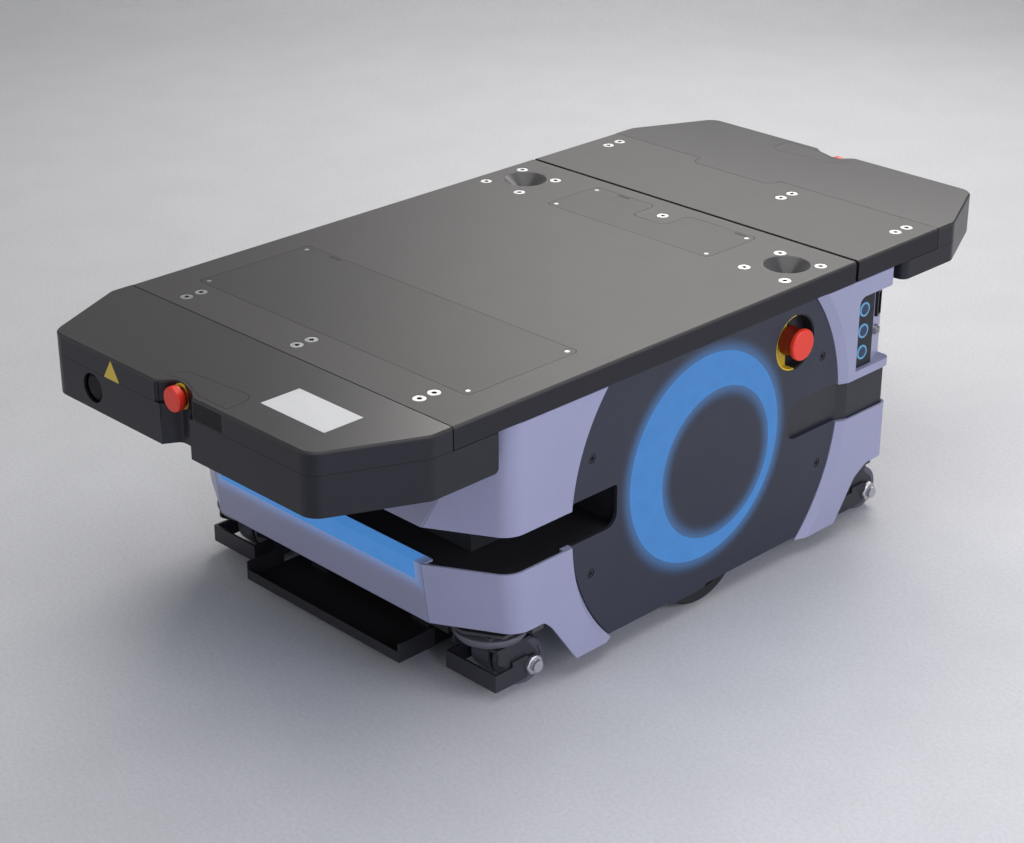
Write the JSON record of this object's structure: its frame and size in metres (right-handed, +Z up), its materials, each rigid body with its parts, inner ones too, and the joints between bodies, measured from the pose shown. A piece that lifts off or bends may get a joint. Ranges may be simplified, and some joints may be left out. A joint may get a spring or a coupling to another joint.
{
  "type": "autonomous mobile robot with lifting load deck",
  "caption": "Low self-driving cart robot with a long lifting load deck, glowing side rings, caster wheels and push-to-stop buttons.",
  "frame": {"origin": "on the floor, at the middle of the overall length and width", "axes": "+Z up, the front of the robot faces -Y, +X is its left side"},
  "size_m": [0.744, 1.486, 0.4942],
  "materials": {
    "frame_steel": "satin",
    "panel_slate": "satin",
    "blue_light": "satin",
    "shell_light": "satin",
    "bay_black": "matte",
    "band_dark": "satin",
    "gloss_black": "gloss",
    "ring_light": "satin",
    "tray_dark": "satin",
    "cap_dark": "satin",
    "screen_white": "satin",
    "deck_coat": "matte",
    "zinc": "satin",
    "screw_black": "satin",
    "stop_yellow": "satin",
    "stop_red": "satin",
    "battery_case": "satin",
    "cast_grey": "satin",
    "cup_steel": "satin",
    "tyre_dark": "matte",
    "fork_dark": "satin",
    "wheel_grey": "satin"
  },
  "bodies": {
    "chassis": {"chassis_frame": "frame_steel", "side_panel_left": "panel_slate", "side_panel_right": "panel_slate", "light_rings": "blue_light", "front_lower_shell": "shell_light", "front_lower_corners": "shell_light", "front_upper_shell": "shell_light", "front_upper_corners": "shell_light", "front_light_strip": "blue_light", "scanner_bay": "bay_black", "laser_scanner": "bay_black", "rear_upper_corner_left": "shell_light", "rear_upper_corner_right": "shell_light", "rear_lower_corners": "shell_light", "rear_centre_covers": "shell_light", "rear_mid_band": "band_dark", "operator_panel": "gloss_black", "button_rings": "ring_light", "panel_connectors": "zinc", "front_tray": "tray_dark", "front_cap_upper": "cap_dark", "front_cap_lower": "cap_dark", "rear_cap_upper": "cap_dark", "rear_cap_lower": "cap_dark", "touch_screen": "screen_white", "sensor_window": "gloss_black", "service_hatches": "cap_dark", "cap_sensor": "gloss_black", "rear_strip_plate": "deck_coat", "strip_screws": "zinc", "panel_screws": "screw_black", "stop_collars": "stop_yellow", "battery_pack": "battery_case", "control_computer": "frame_steel", "drive_units": "cast_grey", "lift_columns": "cast_grey", "lift_actuator": "cast_grey"},
    "lift_deck": {"deck_plate": "deck_coat", "front_deck_cover": "deck_coat", "rear_deck_cover": "deck_coat", "locating_cups": "cup_steel", "deck_screws": "zinc", "lift_frame": "frame_steel"},
    "drive_wheel_left": {"drive_wheel_left": "tyre_dark"},
    "drive_wheel_right": {"drive_wheel_right": "tyre_dark"},
    "front_left_caster_fork": {"front_left_caster_fork": "fork_dark"},
    "front_left_caster_wheel": {"front_left_caster_wheel": "wheel_grey"},
    "front_right_caster_fork": {"front_right_caster_fork": "fork_dark"},
    "front_right_caster_wheel": {"front_right_caster_wheel": "wheel_grey"},
    "rear_left_caster_fork": {"rear_left_caster_fork": "fork_dark"},
    "rear_left_caster_wheel": {"rear_left_caster_wheel": "wheel_grey"},
    "rear_right_caster_fork": {"rear_right_caster_fork": "fork_dark"},
    "rear_right_caster_wheel": {"rear_right_caster_wheel": "wheel_grey"},
    "left_stop_button": {"left_stop_button": "stop_red"},
    "right_stop_button": {"right_stop_button": "stop_red"},
    "front_stop_button": {"front_stop_button": "stop_red"},
    "rear_stop_button": {"rear_stop_button": "stop_red"},
    "upper_panel_button": {"upper_panel_button": "gloss_black"},
    "middle_panel_button": {"middle_panel_button": "gloss_black"},
    "lower_panel_button": {"lower_panel_button": "gloss_black"}
  },
  "joints": [
    {"name": "deck_lift", "type": "slide", "parent": "chassis", "child": "lift_deck", "axis": [0, 0, 1], "range_m": [0, 0.06]},
    {"name": "left_drive_spin", "type": "hinge", "parent": "chassis", "child": "drive_wheel_left", "pos_m": [0.318, -0.0025, 0.1], "axis": [1, 0, 0], "continuous": true},
    {"name": "right_drive_spin", "type": "hinge", "parent": "chassis", "child": "drive_wheel_right", "pos_m": [-0.318, -0.0025, 0.1], "axis": [1, 0, 0], "continuous": true},
    {"name": "front_left_swivel", "type": "hinge", "parent": "chassis", "child": "front_left_caster_fork", "pos_m": [0.281, -0.405, 0.0985], "axis": [0, 0, 1], "continuous": true},
    {"name": "front_left_roll", "type": "hinge", "parent": "front_left_caster_fork", "child": "front_left_caster_wheel", "pos_m": [0.281, -0.37, 0.0375], "axis": [1, 0, 0], "continuous": true},
    {"name": "front_right_swivel", "type": "hinge", "parent": "chassis", "child": "front_right_caster_fork", "pos_m": [-0.281, -0.405, 0.0985], "axis": [0, 0, 1], "continuous": true},
    {"name": "front_right_roll", "type": "hinge", "parent": "front_right_caster_fork", "child": "front_right_caster_wheel", "pos_m": [-0.281, -0.37, 0.0375], "axis": [1, 0, 0], "continuous": true},
    {"name": "rear_left_swivel", "type": "hinge", "parent": "chassis", "child": "rear_left_caster_fork", "pos_m": [0.281, 0.405, 0.0985], "axis": [0, 0, 1], "continuous": true},
    {"name": "rear_left_roll", "type": "hinge", "parent": "rear_left_caster_fork", "child": "rear_left_caster_wheel", "pos_m": [0.281, 0.44, 0.0375], "axis": [1, 0, 0], "continuous": true},
    {"name": "rear_right_swivel", "type": "hinge", "parent": "chassis", "child": "rear_right_caster_fork", "pos_m": [-0.281, 0.405, 0.0985], "axis": [0, 0, 1], "continuous": true},
    {"name": "rear_right_roll", "type": "hinge", "parent": "rear_right_caster_fork", "child": "rear_right_caster_wheel", "pos_m": [-0.281, 0.44, 0.0375], "axis": [1, 0, 0], "continuous": true},
    {"name": "left_stop_push", "type": "slide", "parent": "chassis", "child": "left_stop_button", "axis": [-1, 0, 0], "range_m": [0, 0.005], "stiffness_N_per_m": 900},
    {"name": "right_stop_push", "type": "slide", "parent": "chassis", "child": "right_stop_button", "axis": [1, 0, 0], "range_m": [0, 0.005], "stiffness_N_per_m": 900},
    {"name": "front_stop_push", "type": "slide", "parent": "chassis", "child": "front_stop_button", "axis": [0, 1, 0], "range_m": [0, 0.005], "stiffness_N_per_m": 900},
    {"name": "rear_stop_push", "type": "slide", "parent": "chassis", "child": "rear_stop_button", "axis": [0, -1, 0], "range_m": [0, 0.005], "stiffness_N_per_m": 900},
    {"name": "upper_button_push", "type": "slide", "parent": "chassis", "child": "upper_panel_button", "axis": [-1, 0, 0], "range_m": [0, 0.0016], "stiffness_N_per_m": 400},
    {"name": "middle_button_push", "type": "slide", "parent": "chassis", "child": "middle_panel_button", "axis": [-1, 0, 0], "range_m": [0, 0.0016], "stiffness_N_per_m": 400},
    {"name": "lower_button_push", "type": "slide", "parent": "chassis", "child": "lower_panel_button", "axis": [-1, 0, 0], "range_m": [0, 0.0016], "stiffness_N_per_m": 400}
  ]
}
